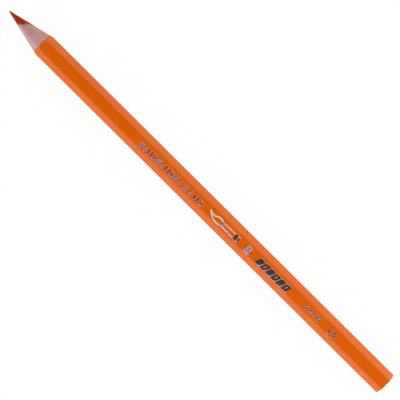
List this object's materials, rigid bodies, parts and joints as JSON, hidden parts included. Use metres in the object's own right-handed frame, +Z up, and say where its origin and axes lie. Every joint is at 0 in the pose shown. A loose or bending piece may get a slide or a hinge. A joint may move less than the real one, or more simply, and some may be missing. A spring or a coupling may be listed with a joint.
{
  "type": "colouring pencil",
  "caption": "Sharpened hexagonal wood-cased colouring pencil with an orange pigment core, orange lacquer and silver foil marks.",
  "frame": {"origin": "centre of the facet that the pencil lies on, under the middle of its length", "axes": "+Z up through the stamped facet, +X along the pencil from the writing tip to the rear end, +Y across it"},
  "size_m": [0.175, 0.008, 0.0072],
  "materials": {
    "pigment": "matte",
    "casing_wood": "matte",
    "glue": "satin",
    "undercoat": "matte",
    "orange_lacquer": "gloss",
    "silver_foil": "polished"
  },
  "bodies": {
    "root": {"pigment_core": "pigment", "core_glue_sleeve": "glue", "upper_slat": "casing_wood", "lower_slat": "casing_wood", "glue_film_left": "glue", "glue_film_right": "glue", "undercoat": "undercoat", "lacquer_coat": "orange_lacquer", "rear_end_dip": "orange_lacquer", "foil_marks_long": "silver_foil", "foil_marks_short": "silver_foil", "foil_brush_outline": "silver_foil", "foil_brush_band": "silver_foil", "foil_rosette": "silver_foil", "foil_slant_bars": "silver_foil", "foil_zigzag": "silver_foil", "foil_lozenges": "silver_foil"}
  },
  "joints": []
}
